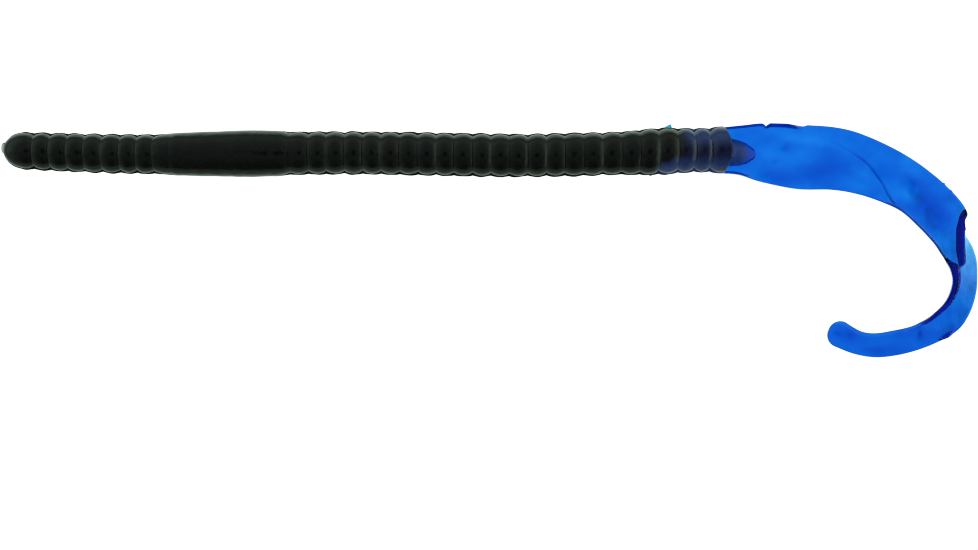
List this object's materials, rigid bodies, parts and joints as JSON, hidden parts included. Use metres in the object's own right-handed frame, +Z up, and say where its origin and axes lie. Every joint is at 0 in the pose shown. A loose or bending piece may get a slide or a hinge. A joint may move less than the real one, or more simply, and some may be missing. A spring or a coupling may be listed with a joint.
{
  "type": "soft plastic fishing worm",
  "caption": "Soft plastic fishing worm: a ribbed body with a smooth band and a flat belly, and a flat translucent ribbon tail that hooks round and steps down along a fold. It bends all along.",
  "frame": {"origin": "on the flat belly, under the smooth band", "axes": "+X along the body from nose to tail, +Z up from the belly, +Y to the left of the worm seen from its nose towards its tail; the tail hooks round towards -Y"},
  "size_m": [0.1389, 0.033, 0.0053],
  "materials": {
    "black_plastic": "soft glossy, near-black, clear at its thin rims",
    "dark_blue_plastic": "soft glossy dark navy",
    "clear_blue_plastic": "glossy translucent bright blue, darker where it is thick"
  },
  "bodies": {
    "smooth_band": {"smooth_band": "black_plastic"},
    "nose": {"nose": "black_plastic"},
    "front_ribs_1": {"front_ribs_1": "black_plastic"},
    "front_ribs_2": {"front_ribs_2": "black_plastic"},
    "rear_ribs_1": {"rear_ribs_1": "black_plastic"},
    "rear_ribs_2": {"rear_ribs_2": "black_plastic"},
    "rear_ribs_3": {"rear_ribs_3": "black_plastic"},
    "rear_ribs_4": {"rear_ribs_4": "black_plastic"},
    "rear_ribs_5": {"rear_ribs_5": "black_plastic"},
    "rear_ribs_6": {"rear_ribs_6": "black_plastic"},
    "rear_ribs_7": {"rear_ribs_7": "black_plastic"},
    "tail_collar": {"tail_collar": "dark_blue_plastic", "tail_root": "clear_blue_plastic"},
    "tail_blade_1": {"tail_blade_1": "clear_blue_plastic"},
    "tail_blade_2": {"tail_blade_2": "clear_blue_plastic"},
    "tail_blade_3": {"tail_blade_3": "clear_blue_plastic"},
    "tail_blade_4": {"tail_blade_4": "clear_blue_plastic"},
    "tail_fold": {"tail_fold": "clear_blue_plastic"},
    "tail_curl_1": {"tail_curl_1": "clear_blue_plastic"},
    "tail_curl_2": {"tail_curl_2": "clear_blue_plastic"},
    "tail_tip": {"tail_tip": "clear_blue_plastic"}
  },
  "joints": [
    {"name": "head_side_bend", "type": "hinge", "parent": "smooth_band", "child": "front_ribs_2", "pos_m": [-0.008, 0, 0.00195], "axis": [0, 0, 1], "range_deg": [-20, 20], "stiffness_Nm_per_rad": 0.001},
    {"name": "nose_side_bend", "type": "hinge", "parent": "front_ribs_1", "child": "nose", "pos_m": [-0.02246, 0.00025, 0.00195], "axis": [0, 0, 1], "range_deg": [-20, 20], "stiffness_Nm_per_rad": 0.001},
    {"name": "head_nod", "type": "hinge", "parent": "front_ribs_2", "child": "front_ribs_1", "pos_m": [-0.01523, 0.00005, 0.00195], "axis": [0, 1, 0], "range_deg": [-20, 20], "stiffness_Nm_per_rad": 0.001},
    {"name": "body_side_bend", "type": "hinge", "parent": "smooth_band", "child": "rear_ribs_1", "pos_m": [0.0089, 0.00012, 0.00195], "axis": [0, 0, 1], "range_deg": [-20, 20], "stiffness_Nm_per_rad": 0.001},
    {"name": "body_side_bend_2", "type": "hinge", "parent": "rear_ribs_2", "child": "rear_ribs_3", "pos_m": [0.02468, 0.0001, 0.00195], "axis": [0, 0, 1], "range_deg": [-20, 20], "stiffness_Nm_per_rad": 0.001},
    {"name": "body_side_bend_3", "type": "hinge", "parent": "rear_ribs_4", "child": "rear_ribs_5", "pos_m": [0.04046, -0.00017, 0.00195], "axis": [0, 0, 1], "range_deg": [-20, 20], "stiffness_Nm_per_rad": 0.001},
    {"name": "body_side_bend_4", "type": "hinge", "parent": "rear_ribs_6", "child": "rear_ribs_7", "pos_m": [0.05624, 0.00015, 0.00195], "axis": [0, 0, 1], "range_deg": [-20, 20], "stiffness_Nm_per_rad": 0.001},
    {"name": "body_lift", "type": "hinge", "parent": "rear_ribs_1", "child": "rear_ribs_2", "pos_m": [0.01679, 0.00018, 0.00195], "axis": [0, -1, 0], "range_deg": [-20, 20], "stiffness_Nm_per_rad": 0.001},
    {"name": "body_lift_2", "type": "hinge", "parent": "rear_ribs_3", "child": "rear_ribs_4", "pos_m": [0.03257, -0.00005, 0.00195], "axis": [0, -1, 0], "range_deg": [-20, 20], "stiffness_Nm_per_rad": 0.001},
    {"name": "body_lift_3", "type": "hinge", "parent": "rear_ribs_5", "child": "rear_ribs_6", "pos_m": [0.04835, -0.00007, 0.00195], "axis": [0, -1, 0], "range_deg": [-20, 20], "stiffness_Nm_per_rad": 0.001},
    {"name": "body_lift_4", "type": "hinge", "parent": "rear_ribs_7", "child": "tail_collar", "pos_m": [0.06413, 0.0005, 0.00195], "axis": [0, -1, 0], "range_deg": [-20, 20], "stiffness_Nm_per_rad": 0.001},
    {"name": "tail_lift", "type": "hinge", "parent": "tail_collar", "child": "tail_blade_1", "pos_m": [0.0764, 0.00019, 0.00045], "axis": [-0.1116, -0.9938, 0], "range_deg": [-20, 20], "stiffness_Nm_per_rad": 0.000007},
    {"name": "tail_lift_2", "type": "hinge", "parent": "tail_blade_1", "child": "tail_blade_2", "pos_m": [0.0813, -0.00031, 0.00045], "axis": [-0.0663, -0.9978, 0], "range_deg": [-20, 20], "stiffness_Nm_per_rad": 0.000007},
    {"name": "tail_lift_3", "type": "hinge", "parent": "tail_blade_2", "child": "tail_blade_3", "pos_m": [0.0867, -0.00054, 0.00045], "axis": [-0.1352, -0.9908, 0], "range_deg": [-20, 20], "stiffness_Nm_per_rad": 0.000007},
    {"name": "tail_flick", "type": "hinge", "parent": "tail_blade_3", "child": "tail_blade_4", "pos_m": [0.0951, -0.00385, 0.00095], "axis": [-0.5093, -0.8606, 0], "range_deg": [-20, 20], "stiffness_Nm_per_rad": 0.000007},
    {"name": "tail_flick_2", "type": "hinge", "parent": "tail_blade_4", "child": "tail_fold", "pos_m": [0.1017, -0.0088, 0.0016], "axis": [-0.7494, -0.6622, 0], "range_deg": [-20, 20], "stiffness_Nm_per_rad": 0.000007},
    {"name": "tail_flick_3", "type": "hinge", "parent": "tail_fold", "child": "tail_curl_1", "pos_m": [0.1031, -0.0232, 0.00065], "axis": [-0.7273, 0.6863, 0], "range_deg": [-20, 20], "stiffness_Nm_per_rad": 0.000007},
    {"name": "curl_open", "type": "hinge", "parent": "tail_curl_1", "child": "tail_curl_2", "pos_m": [0.0986, -0.026, 0.00045], "axis": [0, 0, 1], "range_deg": [-12, 12], "stiffness_Nm_per_rad": 0.00003},
    {"name": "curl_open_2", "type": "hinge", "parent": "tail_curl_2", "child": "tail_tip", "pos_m": [0.0928, -0.02715, 0.00045], "axis": [0, 0, 1], "range_deg": [-12, 12], "stiffness_Nm_per_rad": 0.00003}
  ],
  "couplings": [
    {"joint": "nose_side_bend", "follows": "head_side_bend", "ratio": 1},
    {"joint": "body_side_bend_2", "follows": "body_side_bend", "ratio": 1},
    {"joint": "body_lift_2", "follows": "body_lift", "ratio": 1},
    {"joint": "body_side_bend_3", "follows": "body_side_bend", "ratio": 1},
    {"joint": "body_lift_3", "follows": "body_lift", "ratio": 1},
    {"joint": "body_side_bend_4", "follows": "body_side_bend", "ratio": 1},
    {"joint": "body_lift_4", "follows": "body_lift", "ratio": 1},
    {"joint": "tail_lift_2", "follows": "tail_lift", "ratio": 1},
    {"joint": "tail_lift_3", "follows": "tail_lift", "ratio": 1},
    {"joint": "tail_flick_2", "follows": "tail_flick", "ratio": 1},
    {"joint": "tail_flick_3", "follows": "tail_flick", "ratio": 1},
    {"joint": "curl_open_2", "follows": "curl_open", "ratio": 1}
  ]
}
